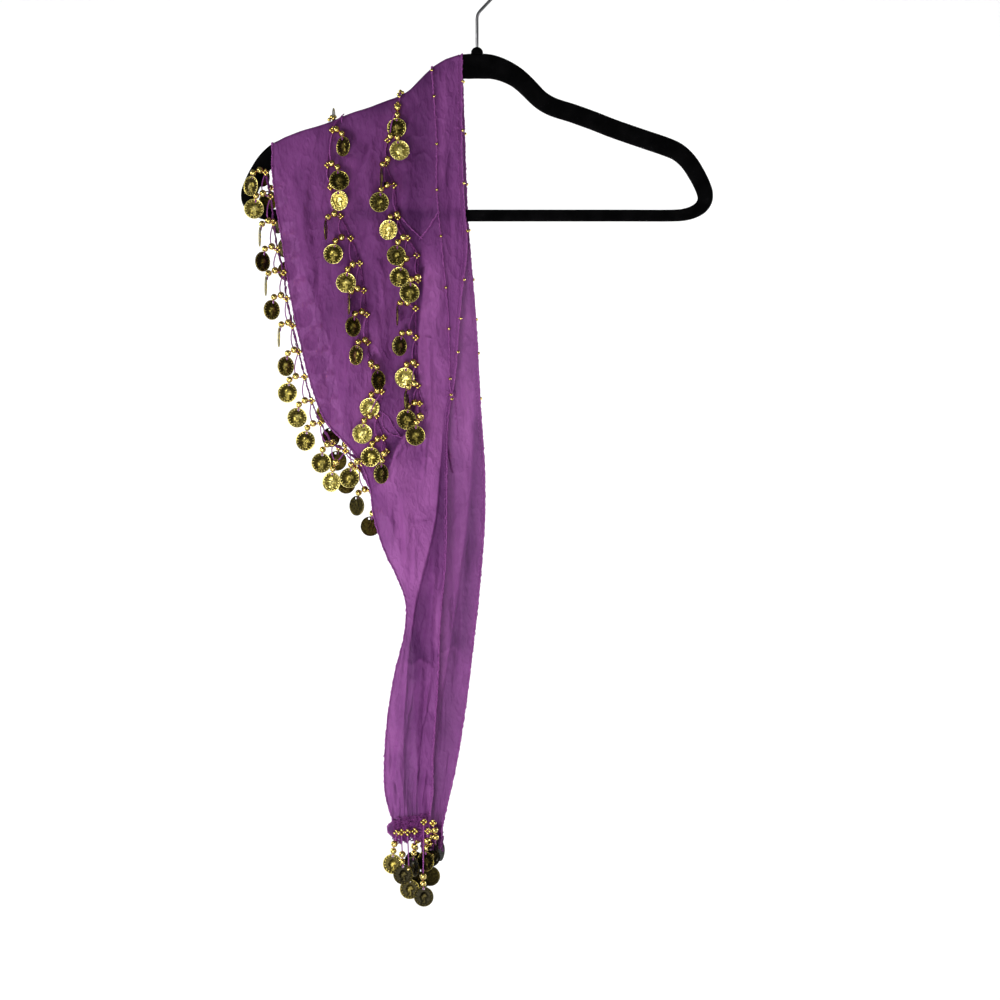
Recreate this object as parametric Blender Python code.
"""Belly dance hip scarf folded at mid-length over one arm of a flocked hanger.

The scarf is one length of sheer chiffon, about 0.2 m deep and 1.5 m long, with a
waist edge on the right and a fringed edge on the left. Half of it hangs in front of
the hanger and half behind, and each half narrows to a gathered tie. Beads and coins
hang in rows from crocheted chains. All sizes here are millimetres. The origin is the
inner top of the hook, where a rail carries it. X is to the right, the front faces -Y.
"""
import math

import bmesh
import bpy
import numpy as np
from mathutils import Vector
from mathutils.bvhtree import BVHTree

METRES = 0.001

# The hanger: a flat moulded plate with round edges, a neck ball and a wire hook.
PLATE_HALF = 3.0
WIRE_RADIUS = 1.5
HOOK_RADIUS = 20.5
HOOK_CENTRE_Z = -19.0
HOOK_END_ANGLE = 200.0
STEM_FOOT_Z = -75.0
STEM_KINK_Z = -48.6
# Right half of the plate's outer line, from the neck round the tip to the lower bar.
# Columns: x, z, width of the plate inward from that line.
PLATE_LINE = (
    (0.0, -86.4, 24.0),
    (10.0, -86.7, 24.0),
    (19.0, -88.5, 23.0),
    (30.0, -92.9, 21.5),
    (41.0, -99.4, 20.0),
    (49.0, -106.0, 19.0),
    (56.0, -113.0, 18.5),
    (64.0, -121.5, 18.0),
    (70.0, -126.0, 18.0),
    (78.0, -129.8, 18.0),
    (94.0, -134.8, 18.0),
    (114.0, -142.0, 18.0),
    (134.0, -149.8, 18.0),
    (160.0, -158.8, 18.0),
    (184.0, -167.0, 18.0),
    (197.0, -173.5, 17.5),
    (208.0, -184.0, 17.0),
    (216.5, -197.4, 16.5),
    (222.5, -210.0, 16.0),
    (225.0, -219.5, 15.5),
    (224.0, -228.5, 14.5),
    (219.5, -236.0, 13.5),
    (212.0, -241.5, 12.5),
    (201.0, -245.2, 11.8),
    (186.0, -246.5, 11.4),
    (140.0, -246.5, 11.4),
    (95.0, -246.5, 11.4),
    (45.0, -246.5, 11.4),
    (0.0, -246.5, 11.4),
)
ARM_TOP_ROWS = 16
# Neck ball profile. Columns: radius, z.
NECK_PROFILE = ((4.0, -86.1), (5.4, -84.0), (5.9, -81.3), (5.2, -78.4), (3.2, -75.9), (1.8, -75.3))

# The cloth: a wall about its middle surface, held clear of the hanger's plate.
CLOTH = 1.0
CLOTH_CLEAR = 3.8
SEAM_GAP = 0.3
ARM_LIFT = 0.7
FOLD_SKIRT = 6.0
FOLD_FOOT = FOLD_SKIRT + CLOTH_CLEAR - ARM_LIFT - 0.5 * CLOTH
TIE_ROW = 7
TIE_COLUMNS = (9, 2, 7)
LAP_EDGE = 1.1
BOW_ROWS = 4.0
# Sections of each half from the fold to the hem. Columns: waist edge x and z, fringe
# edge x and z, x of the edge of the lap that lies over the tie, height of the lap there.
FRONT_SECTIONS = (
    (-14.3, -96.0, -195.0, -182.0, -17.5, 0.0),
    (-14.3, -130.0, -194.5, -205.0, -17.5, 0.0),
    (-14.3, -180.0, -190.5, -236.0, -17.5, 0.0),
    (-12.5, -226.0, -184.5, -272.0, -16.0, 0.0),
    (-9.5, -270.0, -178.0, -315.0, -13.0, 0.0),
    (-14.5, -315.0, -168.5, -360.0, -18.0, 0.0),
    (-18.0, -358.0, -157.0, -405.0, -21.5, 0.0),
    (-21.0, -397.0, -144.0, -437.0, -24.5, 0.3),
    (-27.0, -430.0, -124.0, -459.0, -31.0, 1.4),
    (-28.5, -462.0, -110.0, -477.0, -33.0, 2.8),
    (-28.6, -495.0, -101.5, -503.0, -35.5, 3.8),
    (-29.0, -525.0, -98.0, -528.0, -38.0, 4.2),
    (-29.5, -560.0, -88.0, -560.0, -45.0, 4.2),
    (-31.0, -585.0, -76.0, -585.0, -51.5, 3.8),
    (-33.5, -610.0, -67.5, -610.0, -57.5, 3.2),
    (-35.5, -640.0, -69.0, -640.0, -62.0, 2.4),
    (-36.6, -676.0, -78.0, -676.0, -66.0, 2.0),
    (-39.0, -716.0, -84.5, -716.0, -68.0, 2.0),
    (-41.9, -756.0, -87.7, -756.0, -69.0, 2.2),
    (-42.2, -790.0, -87.3, -790.0, -68.0, 2.2),
    (-45.0, -812.0, -80.0, -817.0, -65.0, 2.0),
)
BACK_SECTIONS = (
    (-14.3, -96.0, -195.0, -182.0, -17.5, 0.0),
    (-12.8, -140.0, -186.0, -213.0, -16.0, 0.0),
    (-11.0, -195.0, -173.0, -248.0, -14.5, 0.0),
    (-8.6, -250.0, -166.0, -287.0, -12.0, 0.0),
    (-4.0, -305.0, -152.0, -326.0, -8.0, 0.0),
    (-0.5, -350.0, -140.0, -365.0, -4.5, 0.0),
    (1.5, -390.0, -133.0, -403.0, -3.0, 0.3),
    (3.5, -426.0, -127.0, -436.0, -3.0, 1.2),
    (6.0, -462.0, -117.0, -470.0, -4.0, 2.4),
    (7.5, -498.0, -101.0, -504.0, -6.0, 3.4),
    (6.7, -540.0, -79.5, -540.0, -10.0, 4.0),
    (2.0, -600.0, -67.0, -600.0, -18.0, 4.0),
    (-4.8, -660.0, -60.5, -660.0, -27.0, 3.6),
    (-11.4, -712.0, -59.0, -712.0, -35.0, 3.0),
    (-20.0, -765.0, -56.5, -765.0, -41.0, 2.6),
    (-29.0, -805.0, -55.0, -805.0, -44.0, 2.2),
    (-33.0, -823.0, -53.5, -826.0, -44.0, 2.0),
)
# Main soft folds, seen from the front. Columns: x and z of the upper end, x and z of
# the lower end, half width, how far the cloth stands out along the ridge.
FRONT_FOLDS = (
    (-33.0, -120.0, -40.0, -420.0, 13.0, 4.0),
    (-70.0, -150.0, -62.0, -440.0, 14.0, 5.0),
    (-104.0, -165.0, -88.0, -455.0, 13.0, 4.5),
    (-138.0, -190.0, -112.0, -440.0, 13.0, 4.0),
    (-172.0, -205.0, -146.0, -400.0, 10.0, 3.0),
    (-99.0, -498.0, -58.0, -440.0, 9.0, 4.5),
    (-66.0, -500.0, -70.0, -600.0, 8.0, 3.0),
    (-62.0, -640.0, -78.0, -800.0, 7.0, 3.5),
    (-47.0, -600.0, -62.0, -790.0, 7.0, 3.5),
    (-38.0, -520.0, -47.0, -700.0, 6.0, 2.5),
)
BACK_FOLDS = (
    (-30.0, -130.0, -12.0, -400.0, 14.0, 4.5),
    (-66.0, -160.0, -44.0, -470.0, 13.0, 5.0),
    (-108.0, -180.0, -76.0, -500.0, 14.0, 4.5),
    (-146.0, -200.0, -104.0, -430.0, 12.0, 3.5),
    (-50.0, -480.0, -36.0, -780.0, 8.0, 4.0),
    (-26.0, -460.0, -20.0, -700.0, 8.0, 4.5),
    (-4.0, -440.0, -8.0, -640.0, 7.0, 3.0),
)
GATHER_WAVE = 9.0
GATHER_DEPTH = 1.6
GATHER_REACH = 45.0

# Pendants: two beads over a coin on a crocheted strip, hung to the fringed side.
PITCH = 23.5
FIRST_ROOT = 8.0
STRIP_HALF = 0.7
ROOT_HALF = 1.0
THREAD_HALF = 0.55
BEAD_HALF = 2.5
COIN_RADIUS = 9.5
COIN_CORNER = 3.94
COIN_HALF = 0.6
CLEAR = 0.45
COIN_CLEAR = 0.9
ROW_REACH = 6.0
STAGGER = 5.6
HEM_STRIP_HALF = 1.8
# How much thicker the thread's knot is between the beads, and how far the edge's and the
# hem's strips lie from the cloth beyond the seam's gap.
KNOT = 0.3
EDGE_PLAY = 0.1
HEM_PLAY = 0.2
ROW_STEPS = 22
PANEL_COLUMNS = 18
ARM_STEPS = 8
NECK_SIDES = 16
WIRE_SIDES = 8
HOOK_STEPS = 24
HOOK_START_ANGLE = -45.0
# Where the rays that feel for the cloth start, beyond everything that hangs on it.
FAR_OUT = 90.0
# Offsets from the strip to a pendant's parts, seen from the front. Columns: x, z.
THREAD_OFFSET = (-3.4, 1.2)
BEAD_ONE_OFFSET = (-9.3, 3.2)
BEAD_TWO_OFFSET = (-12.6, -2.2)
COIN_OFFSET = (-13.4, -14.8)
# How far above the coin's rim a hem pendant's thread and two beads have their middles.
HEM_RISES = (11.6, 8.5, 2.9)
# Pendants of each row from the top. Columns: turn of the coin from facing the viewer and
# lean of the pendant toward hanging straight below its root, both in degrees.
EDGE_HANG = (
    (16, 0), (10, 0), (16, 1), (34, 0), (16, 1), (36, 0), (16, 0), (36, 2),
    (8, 1), (14, 2), (8, 0), (10, 2), (16, 3), (12, 0), (16, 2), (8, 1),
)
ROW_B_HANG = (
    (16, 9), (10, 8), (8, 6), (40, 0), (12, 0), (6, 0), (16, 0),
    (36, 0), (16, 1), (36, 6), (8, 6), (8, 2), (6, 2), (30, 4),
)
ROW_C_HANG = (
    (16, 10), (8, 9), (16, 4), (14, 2), (16, 0), (20, 2), (10, 3),
    (8, 7), (16, 2), (36, 0), (8, 2), (36, 0), (16, 2), (8, 6),
)
# Rows of pendants on a panel. Columns: how far across from waist to fringe edge at the
# fold and at the lower end, section where the row ends.
ROW_B_RUN = (0.625, 0.56, 9.0)
ROW_C_RUN = (0.335, 0.27, 8.55)
FRONT_EDGE_END = 9.3
BACK_EDGE_END = 10.35
# Pendants of each hem. Columns: x of the root, x and z of the coin's centre, turn of the
# coin in degrees, how far it stands out from the cloth.
FRONT_HEM = (
    (-76.5, -83.3, -861.0, 10, 0.3),
    (-71.8, -71.5, -868.6, 10, -5.4),
    (-67.1, -62.0, -856.0, 28, 5.4),
    (-62.4, -62.3, -884.0, 8, 0.0),
    (-57.7, -50.5, -890.0, 12, 5.4),
    (-53.0, -49.6, -862.0, 12, -5.4),
    (-48.5, -40.0, -846.0, 70, -2.0),
)
BACK_HEM = (
    (-51.0, -60.0, -862.0, 12, 0.3),
    (-46.8, -46.0, -880.0, 8, 5.6),
    (-42.6, -40.5, -858.0, 4, -3.6),
    (-38.4, -31.0, -874.0, 6, 0.3),
    (-34.6, -22.0, -848.0, 60, 0.0),
)


class Half:
    """One half of the scarf: its sections, its folds, and the way that it faces along Y."""

    def __init__(self, sections, folds, facing):
        self.sections = np.array(sections)
        self.folds = folds
        self.facing = facing
        self.last = len(sections) - 1
        self.hem_z = self.sections[self.last, 1]


def mix(start, end, part):
    """Value part of the way from start to end."""
    return start + (end - start) * part


def ease(part):
    """Smooth step from 0 to 1, flat at both ends."""
    part = min(max(part, 0.0), 1.0)
    return part * part * (3.0 - 2.0 * part)


def read_rows(rows, place):
    """Values at a fractional row number, on a smooth curve through the table's rows."""
    last = len(rows) - 1
    start = min(int(place), last - 1)
    part = place - start
    before = rows[max(start - 1, 0)]
    here = rows[start]
    there = rows[start + 1]
    after = rows[min(start + 2, last)]
    slope_here = 0.5 * (there - before)
    slope_there = 0.5 * (after - here)
    square = part * part
    cube = square * part
    return (
        (2.0 * cube - 3.0 * square + 1.0) * here
        + (cube - 2.0 * square + part) * slope_here
        + (3.0 * square - 2.0 * cube) * there
        + (cube - square) * slope_there
    )


def arm_top(x):
    """Height of the plate's upper line over x, alike on both arms."""
    xs = [row[0] for row in PLATE_LINE[:ARM_TOP_ROWS]]
    zs = [row[1] for row in PLATE_LINE[:ARM_TOP_ROWS]]
    return float(np.interp(abs(x), xs, zs))


def fold_push(half, x, z):
    """How far the main folds and the gathers above the hem push the cloth outward."""
    push = 0.0
    for top_x, top_z, low_x, low_z, half_width, depth in half.folds:
        along = np.array((low_x - top_x, low_z - top_z))
        toward = np.array((x - top_x, z - top_z))
        part = float(toward @ along / (along @ along))
        if part <= 0.0 or part >= 1.0:
            continue
        side = abs(toward[0] * along[1] - toward[1] * along[0]) / math.hypot(*along)
        ends = ease(3.0 * part) * ease(3.0 * (1.0 - part))
        push += depth * ends * ease(1.0 - side / half_width)
    near_hem = ease(1.0 - (z - half.hem_z) / GATHER_REACH)
    wave = 0.5 + 0.5 * math.sin(2.0 * math.pi * x / GATHER_WAVE)
    return push + GATHER_DEPTH * near_hem * wave


def cloth_point(half, x, z, layer=0.0):
    """Point of the cloth's middle surface, a layer further out than the innermost one."""
    out = CLOTH_CLEAR + layer + fold_push(half, x, z)
    return Vector((x, half.facing * out, z))


def panel_point(half, place, across):
    """Point of the broad panel, across from the waist edge (0) to the fringe edge (1)."""
    waist_x, waist_z, fringe_x, fringe_z = read_rows(half.sections, place)[:4]
    top = half.sections[0]
    top_x = mix(top[0], top[2], across)
    bow = arm_top(top_x) - FOLD_FOOT - SEAM_GAP - mix(top[1], top[3], across)
    x = mix(waist_x, fringe_x, across)
    z = mix(waist_z, fringe_z, across) + bow * ease(1.0 - place / BOW_ROWS)
    return cloth_point(half, x, z)


def tie_section(half, place):
    """Points across the tie, from the fringe edge, down the lap's edge, to the waist edge."""
    waist_x, waist_z, fringe_x, fringe_z, lap_x, lap_height = read_rows(half.sections, place)
    corners = (
        (fringe_x, lap_height),
        (lap_x - LAP_EDGE, lap_height),
        (lap_x + LAP_EDGE, 0.0),
        (waist_x, 0.0),
    )
    points = []
    for start, end, count in zip(corners, corners[1:], TIE_COLUMNS):
        for step in range(count):
            part = step / count
            points.append((mix(start[0], end[0], part), mix(start[1], end[1], part)))
    points.append(corners[-1])
    section = []
    for x, layer in points:
        z = mix(waist_z, fringe_z, (x - waist_x) / (fringe_x - waist_x))
        section.append(cloth_point(half, x, z, layer))
    return section


def grid_normals(grid):
    """Unit normals of a grid of points, all on the same side of it."""
    points = np.array([[tuple(point) for point in row] for row in grid])
    along = np.gradient(points, axis=0)
    across = np.gradient(points, axis=1)
    normals = np.cross(along, across)
    return normals / np.linalg.norm(normals, axis=2)[:, :, None]


def wall_mesh(grid):
    """Closed wall of the cloth's thickness about a grid of points."""
    normals = grid_normals(grid)
    rows = len(grid)
    columns = len(grid[0])
    mesh = bmesh.new()
    layers = []
    for side in (0.5, -0.5):
        layer = []
        for row, row_normals in zip(grid, normals):
            shift = side * CLOTH
            layer.append([mesh.verts.new(p + shift * Vector(n)) for p, n in zip(row, row_normals)])
        layers.append(layer)
    outer, inner = layers
    for i in range(rows - 1):
        for j in range(columns - 1):
            for layer in layers:
                mesh.faces.new((layer[i][j], layer[i + 1][j], layer[i + 1][j + 1], layer[i][j + 1]))
    border = [(0, j) for j in range(columns)]
    border += [(i, columns - 1) for i in range(1, rows)]
    border += [(rows - 1, j) for j in range(columns - 2, -1, -1)]
    border += [(i, 0) for i in range(rows - 2, 0, -1)]
    for (i, j), (k, m) in zip(border, border[1:] + border[:1]):
        mesh.faces.new((outer[i][j], outer[k][m], inner[k][m], inner[i][j]))
    return mesh


def tube_mesh(rings, closed):
    """Skin over rings of points, joined end to end or with a flat cap at each end."""
    mesh = bmesh.new()
    loops = [[mesh.verts.new(point) for point in ring] for ring in rings]
    follow = loops[1:] + loops[:1] if closed else loops[1:]
    for loop, after in zip(loops, follow):
        for k in range(len(loop)):
            m = (k + 1) % len(loop)
            mesh.faces.new((loop[k], loop[m], after[m], after[k]))
    if not closed:
        mesh.faces.new(loops[0])
        mesh.faces.new(loops[-1])
    return mesh


def add_object(name, mesh, colour, roughness, metallic=0.0):
    """Object from a millimetre mesh, with its faces turned out and its own material."""
    bmesh.ops.recalc_face_normals(mesh, faces=mesh.faces)
    bmesh.ops.scale(mesh, vec=Vector((METRES, METRES, METRES)), verts=mesh.verts)
    data = bpy.data.meshes.new(name)
    mesh.to_mesh(data)
    mesh.free()
    data.shade_smooth()
    data.set_sharp_from_angle(angle=math.radians(40.0))
    material = bpy.data.materials.new(name)
    material.use_nodes = True
    shader = material.node_tree.nodes["Principled BSDF"]
    shader.inputs["Base Color"].default_value = (*colour, 1.0)
    shader.inputs["Roughness"].default_value = roughness
    shader.inputs["Metallic"].default_value = metallic
    data.materials.append(material)
    item = bpy.data.objects.new(name, data)
    bpy.context.scene.collection.objects.link(item)


def hanger_frame():
    """The plate: arms, tips and lower bar, swept round its opening with round edges."""
    left = [(-x, z, width) for x, z, width in PLATE_LINE[-2:0:-1]]
    line = list(PLATE_LINE) + left
    count = len(line)
    rings = []
    for i in range(count):
        x, z, width = line[i]
        before = line[i - 1]
        after = line[(i + 1) % count]
        along = Vector((after[0] - before[0], 0.0, after[1] - before[1])).normalized()
        inward = Vector((along.z, 0.0, -along.x))
        edge = Vector((x, 0.0, z))
        corner = PLATE_HALF * (1.0 - math.sqrt(0.5))
        side = PLATE_HALF * math.sqrt(0.5)
        outline = (
            (0.0, 0.0),
            (corner, side),
            (PLATE_HALF, PLATE_HALF),
            (width - PLATE_HALF, PLATE_HALF),
            (width - corner, side),
            (width, 0.0),
            (width - corner, -side),
            (width - PLATE_HALF, -PLATE_HALF),
            (PLATE_HALF, -PLATE_HALF),
            (corner, -side),
        )
        rings.append([edge + inward * deep + Vector((0.0, y, 0.0)) for deep, y in outline])
    return tube_mesh(rings, closed=True)


def hanger_neck():
    """The ball that the hook's wire is fixed in, turned from its profile."""
    rings = []
    for radius, z in NECK_PROFILE:
        angles = [2.0 * math.pi * k / NECK_SIDES for k in range(NECK_SIDES)]
        rings.append([Vector((radius * math.cos(a), radius * math.sin(a), z)) for a in angles])
    return tube_mesh(rings, closed=False)


def hook_route():
    """Middle line of the wire, up the stem and round the hook."""
    route = [Vector((0.0, 0.0, z)) for z in (STEM_FOOT_Z, STEM_KINK_Z - 1.0, STEM_KINK_Z + 0.8)]
    for step in range(HOOK_STEPS + 1):
        angle = math.radians(mix(HOOK_START_ANGLE, HOOK_END_ANGLE, step / HOOK_STEPS))
        x = HOOK_RADIUS * math.cos(angle)
        z = HOOK_CENTRE_Z + HOOK_RADIUS * math.sin(angle)
        route.append(Vector((x, 0.0, z)))
    return route


def hanger_hook():
    """The bent wire, with round sides."""
    route = hook_route()
    deep = Vector((0.0, 1.0, 0.0))
    rings = []
    for i, point in enumerate(route):
        along = (route[min(i + 1, len(route) - 1)] - route[max(i - 1, 0)]).normalized()
        across = Vector((along.z, 0.0, -along.x))
        ring = []
        for k in range(WIRE_SIDES):
            angle = 2.0 * math.pi * (k + 0.5) / WIRE_SIDES
            ring.append(point + WIRE_RADIUS * (math.cos(angle) * across + math.sin(angle) * deep))
        rings.append(ring)
    return tube_mesh(rings, closed=False)


def panel_grid(half):
    """Middle surface of a broad panel."""
    rows = 2 * TIE_ROW
    places = [TIE_ROW * i / rows for i in range(rows + 1)]
    acrosses = [1.0 - j / PANEL_COLUMNS for j in range(PANEL_COLUMNS + 1)]
    return [[panel_point(half, place, across) for across in acrosses] for place in places]


def tie_grid(half):
    """Middle surface of a gathered tie and the lap over it."""
    start = TIE_ROW + SEAM_GAP / (half.sections[TIE_ROW, 3] - half.sections[TIE_ROW + 1, 3])
    places = [start] + list(range(TIE_ROW + 1, half.last + 1))
    return [tie_section(half, place) for place in places]


def fold_grid():
    """Middle surface of the short stretch that lies over the arm."""
    first = FRONT_SECTIONS[0]
    grid = []
    profile = [(-CLOTH_CLEAR, -FOLD_SKIRT)]
    for step in range(ARM_STEPS + 1):
        angle = math.pi * (1.0 - step / ARM_STEPS)
        profile.append((CLOTH_CLEAR * math.cos(angle), CLOTH_CLEAR * math.sin(angle)))
    profile.append((CLOTH_CLEAR, -FOLD_SKIRT))
    centre_drop = CLOTH_CLEAR - 0.5 * CLOTH - ARM_LIFT
    for y, height in profile:
        row = []
        for j in range(PANEL_COLUMNS + 1):
            x = mix(first[2], first[0], j / PANEL_COLUMNS)
            row.append(Vector((x, y, arm_top(x) - centre_drop + height)))
        grid.append(row)
    return grid


def cloth_reach(tree, facing, x, z, radius):
    """How far out the cloth's outer face lies anywhere within a radius of a place."""
    reach = CLOTH_CLEAR + 0.5 * CLOTH
    for k in range(17):
        spread = radius * (0.0, 0.5, 1.0)[min(k, 1) + (k > 8)]
        angle = 0.25 * math.pi * k
        start = Vector((x + spread * math.cos(angle), facing * FAR_OUT, z + spread * math.sin(angle)))
        hit = tree.ray_cast(start, Vector((0.0, -facing, 0.0)))[0]
        if hit is not None:
            reach = max(reach, facing * hit.y)
    return reach


def square_ring(centre, wide, deep, half_wide, half_deep):
    """Four points round a centre, in the order that the pendants' rings keep."""
    order = ((-1.0, 1.0), (1.0, 1.0), (1.0, -1.0), (-1.0, -1.0))
    return [centre + wide * (a * half_wide) + deep * (b * half_deep) for a, b in order]


def pendant_rings(tree, facing, places, turn, stand_out, sign):
    """Rings of a thread, two beads and a coin, from the places of their middles."""
    deep = Vector((0.0, facing, 0.0))
    thread, bead_one, bead_two, coin = places
    knot = tuple(mix(a, b, 0.5) for a, b in zip(bead_one, bead_two))
    stations = (
        (thread, THREAD_HALF),
        (bead_one, BEAD_HALF),
        (knot, THREAD_HALF + KNOT),
        (bead_two, BEAD_HALF),
    )
    route = [station[0] for station in stations] + [coin]
    rings = []
    for k, ((x, z), half_size) in enumerate(stations):
        before = route[max(k - 1, 0)]
        after = route[k + 1]
        along = Vector((after[0] - before[0], 0.0, after[1] - before[1])).normalized()
        wide = sign * deep.cross(along)
        out = cloth_reach(tree, facing, x, z, ROW_REACH) + CLEAR + half_size + stand_out
        rings.append(square_ring(Vector((x, facing * out, z)), wide, deep, half_size, half_size))
    angle = math.radians(turn)
    straight = sign * deep.cross(Vector((0.0, 0.0, -1.0)))
    wide = straight * math.cos(angle) + deep * math.sin(angle)
    thin = deep * math.cos(angle) - straight * math.sin(angle)
    x, z = coin
    edge = COIN_HALF * abs(math.cos(angle)) + COIN_RADIUS * abs(math.sin(angle))
    out = cloth_reach(tree, facing, x, z, COIN_RADIUS) + COIN_CLEAR + edge + stand_out
    sizes = (
        (COIN_RADIUS, COIN_CORNER),
        (COIN_CORNER, COIN_RADIUS),
        (-COIN_CORNER, COIN_RADIUS),
        (-COIN_RADIUS, COIN_CORNER),
    )
    for rise, half_wide in sizes:
        centre = Vector((x, facing * out, z + rise))
        rings.append(square_ring(centre, wide, thin, half_wide, COIN_HALF))
    return rings


def fringe_mesh(tree, facing, path, outward, half_deep, hangings):
    """A strip along a path with a pendant grown from its outward face at each hanging.

    path holds the strip's middle points. Each hanging is (distance along the path,
    function of the root's point that gives the places, turn, stand out).
    """
    deep = Vector((0.0, facing, 0.0))
    lengths = [0.0]
    for start, end in zip(path, path[1:]):
        lengths.append(lengths[-1] + (end - start).length)
    marks = set(lengths)
    roots = {}
    for distance, places, turn, stand_out in hangings:
        for mark in [m for m in marks if abs(m - distance) < 2.2 * ROOT_HALF]:
            marks.discard(mark)
        marks.update((distance - ROOT_HALF, distance + ROOT_HALF))
        roots[distance - ROOT_HALF] = (distance, places, turn, stand_out)
    mesh = bmesh.new()
    loops = []
    frames = []
    for mark in sorted(marks):
        point = path_point(path, lengths, mark)
        along = (path_point(path, lengths, mark + 1.0) - path_point(path, lengths, mark - 1.0)).normalized()
        side = deep.cross(along).normalized()
        if side.dot(outward) < 0.0:
            side = -side
        ring = [
            point + side * STRIP_HALF + deep * half_deep,
            point + side * STRIP_HALF - deep * half_deep,
            point - side * STRIP_HALF - deep * half_deep,
            point - side * STRIP_HALF + deep * half_deep,
        ]
        loops.append([mesh.verts.new(corner) for corner in ring])
        frames.append((mark, along, side))
    mesh.faces.new(loops[0])
    mesh.faces.new(loops[-1])
    for (mark, along, side), here, there in zip(frames, loops, loops[1:]):
        for k in range(1, 4):
            m = (k + 1) % 4
            mesh.faces.new((here[k], here[m], there[m], there[k]))
        if mark not in roots:
            mesh.faces.new((here[0], here[1], there[1], there[0]))
            continue
        distance, places, turn, stand_out = roots[mark]
        root = path_point(path, lengths, distance)
        sign = 1.0 if deep.cross(side).dot(along) > 0.0 else -1.0
        loop = [here[0], there[0], there[1], here[1]]
        for ring in pendant_rings(tree, facing, places(root), turn, stand_out, sign):
            after = [mesh.verts.new(point) for point in ring]
            for k in range(4):
                m = (k + 1) % 4
                mesh.faces.new((loop[k], loop[m], after[m], after[k]))
            loop = after
        mesh.faces.new(loop)
    return mesh


def path_point(path, lengths, distance):
    """Point at a distance along a path of straight stretches."""
    for k in range(len(path) - 1):
        if distance <= lengths[k + 1] or k == len(path) - 2:
            part = (distance - lengths[k]) / (lengths[k + 1] - lengths[k])
            return path[k].lerp(path[k + 1], part)
    return path[-1]


def row_places(root, lean):
    """Places of a row's pendant: out to the fringed side, then down, turned by its lean."""
    angle = math.radians(lean)
    places = [(root.x + THREAD_OFFSET[0], root.z + THREAD_OFFSET[1])]
    for x, z in (BEAD_ONE_OFFSET, BEAD_TWO_OFFSET, COIN_OFFSET):
        turned_x = x * math.cos(angle) - z * math.sin(angle)
        turned_z = x * math.sin(angle) + z * math.cos(angle)
        places.append((root.x + turned_x, root.z + turned_z))
    return places


def hem_places(coin_x, coin_z):
    """Places of a hem's pendant: straight down on a longer thread."""
    places = [(coin_x, coin_z + COIN_RADIUS + rise) for rise in HEM_RISES]
    return places + [(coin_x, coin_z)]


def row_hangings(table):
    """Hangings of a row, one pitch apart, every other one further out."""
    hangings = []
    for k, (turn, lean) in enumerate(table):
        stand_out = STAGGER if k % 2 else 0.0
        signed_turn = turn if k % 2 else -turn
        hangings.append((
            FIRST_ROOT + k * PITCH,
            lambda root, lean=lean: row_places(root, lean),
            signed_turn,
            stand_out,
        ))
    return hangings


def path_length(path):
    """Length of a path of straight stretches."""
    return sum((end - start).length for start, end in zip(path, path[1:]))


def fitting(hangings, path):
    """The hangings that their path is long enough for."""
    length = path_length(path)
    return [hanging for hanging in hangings if hanging[0] < length - 2.0 * ROOT_HALF]


def panel_row(tree, half, run, table):
    """A row of pendants on a panel, on a strip that lies just clear of the cloth."""
    across_top, across_low, last = run
    path = []
    for i in range(ROW_STEPS + 1):
        part = i / ROW_STEPS
        point = panel_point(half, last * part, mix(across_top, across_low, part))
        out = cloth_reach(tree, half.facing, point.x, point.z, ROW_REACH) + CLEAR + STRIP_HALF
        path.append(Vector((point.x, half.facing * out, point.z)))
    hangings = fitting(row_hangings(table), path)
    return fringe_mesh(tree, half.facing, path, Vector((-1.0, 0.0, 0.0)), STRIP_HALF, hangings)


def edge_row(tree, half, grids, end):
    """The fringe along the fringe edge, on a strip parted from the cloth's edge."""
    edge = []
    for grid in grids:
        edge += [row[0] for row in grid]
    edge = [point for point in edge if point.z > read_rows(half.sections, end)[3]]
    path = []
    for i, point in enumerate(edge):
        along = (edge[min(i + 1, len(edge) - 1)] - edge[max(i - 1, 0)]).normalized()
        side = Vector((along.z, 0.0, -along.x)).normalized()
        if side.x > 0.0:
            side = -side
        path.append(point + side * (SEAM_GAP + STRIP_HALF + EDGE_PLAY))
    hangings = fitting(row_hangings(EDGE_HANG), path)
    return fringe_mesh(tree, half.facing, path, Vector((-1.0, 0.0, 0.0)), STRIP_HALF, hangings)


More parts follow.
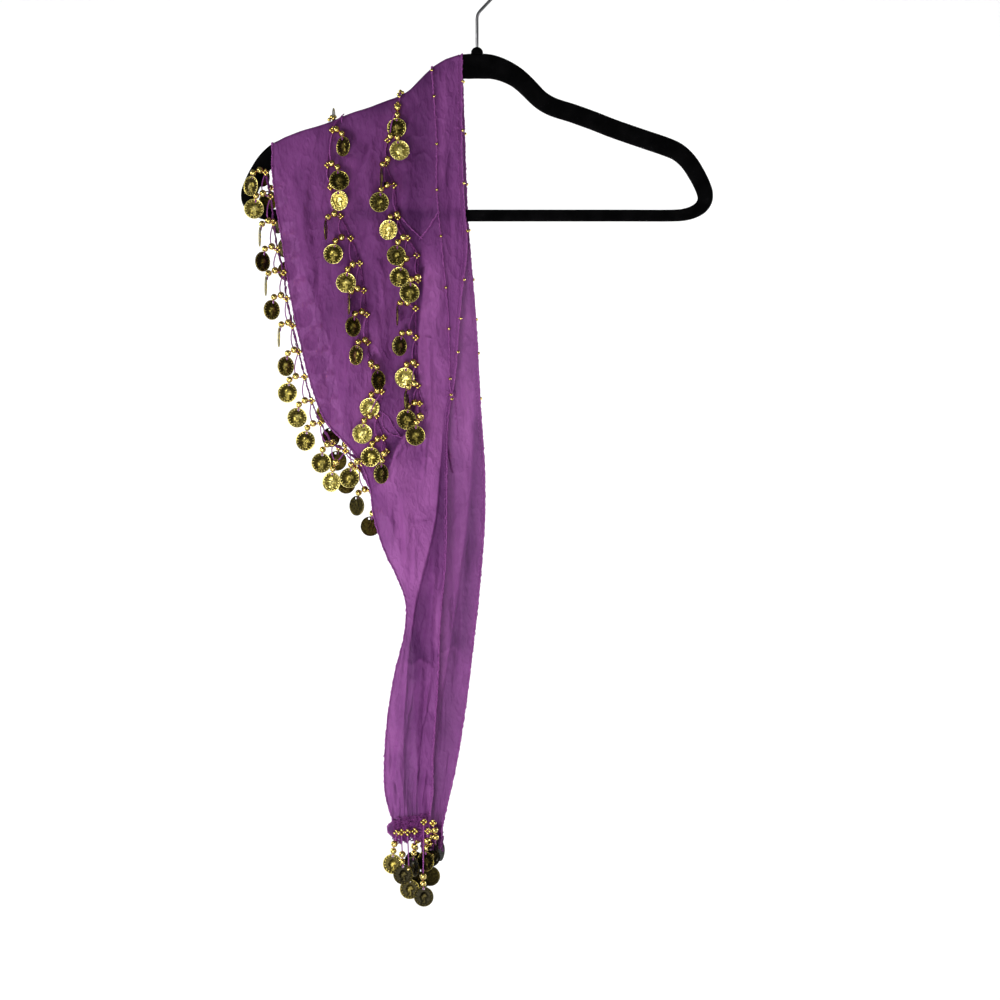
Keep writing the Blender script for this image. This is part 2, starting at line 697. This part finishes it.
def hem_row(tree, half, table):
    """The fringe below a tie's gathered hem."""
    waist_x, waist_z, fringe_x, fringe_z = half.sections[half.last, :4]
    drop = SEAM_GAP + STRIP_HALF + HEM_PLAY
    out = CLOTH_CLEAR + HEM_STRIP_HALF
    ends = ((fringe_x, fringe_z), (waist_x, waist_z))
    path = [Vector((x, half.facing * out, z - drop)) for x, z in ends]
    hangings = []
    for root_x, coin_x, coin_z, turn, stand_out in table:
        distance = (root_x - fringe_x) / (waist_x - fringe_x) * path_length(path)
        hangings.append((distance, lambda root, x=coin_x, z=coin_z: hem_places(x, z), turn, stand_out))
    return fringe_mesh(tree, half.facing, path, Vector((0.0, 0.0, -1.0)), HEM_STRIP_HALF, hangings)


def cloth_tree(meshes):
    """Search tree over the outside of some walls."""
    corners = []
    faces = []
    for mesh in meshes:
        start = len(corners)
        mesh.verts.index_update()
        corners += [vert.co.copy() for vert in mesh.verts]
        faces += [[start + vert.index for vert in face.verts] for face in mesh.faces]
    return BVHTree.FromPolygons(corners, faces)


def build_half(name, sections, folds, facing, edge_end, hem):
    """Panel, tie and fringes of one half."""
    half = Half(sections, folds, facing)
    panel = panel_grid(half)
    tie = tie_grid(half)
    panel_mesh = wall_mesh(panel)
    tie_mesh = wall_mesh(tie)
    tree = cloth_tree((panel_mesh, tie_mesh))
    fringes = {
        "edge_fringe": edge_row(tree, half, (panel, tie), edge_end),
        "row_b": panel_row(tree, half, ROW_B_RUN, ROW_B_HANG),
        "row_c": panel_row(tree, half, ROW_C_RUN, ROW_C_HANG),
        "tie_fringe": hem_row(tree, half, hem),
    }
    add_object(f"scarf_{name}", panel_mesh, CLOTH_COLOUR, 0.55)
    add_object(f"tie_{name}", tie_mesh, CLOTH_COLOUR, 0.55)
    for fringe, mesh in fringes.items():
        add_object(f"{fringe}_{name}", mesh, GOLD_COLOUR, 0.35, 1.0)


CLOTH_COLOUR = (0.30, 0.09, 0.33)
GOLD_COLOUR = (0.55, 0.40, 0.13)
FLOCK_COLOUR = (0.012, 0.011, 0.013)
STEEL_COLOUR = (0.60, 0.60, 0.62)

for old in list(bpy.data.objects):
    bpy.data.objects.remove(old)

add_object("hanger_frame", hanger_frame(), FLOCK_COLOUR, 0.95)
add_object("hanger_neck", hanger_neck(), FLOCK_COLOUR, 0.9)
add_object("hanger_hook", hanger_hook(), STEEL_COLOUR, 0.25, 1.0)
add_object("scarf_fold", wall_mesh(fold_grid()), CLOTH_COLOUR, 0.55)
build_half("front", FRONT_SECTIONS, FRONT_FOLDS, -1.0, FRONT_EDGE_END, FRONT_HEM)
build_half("back", BACK_SECTIONS, BACK_FOLDS, 1.0, BACK_EDGE_END, BACK_HEM)
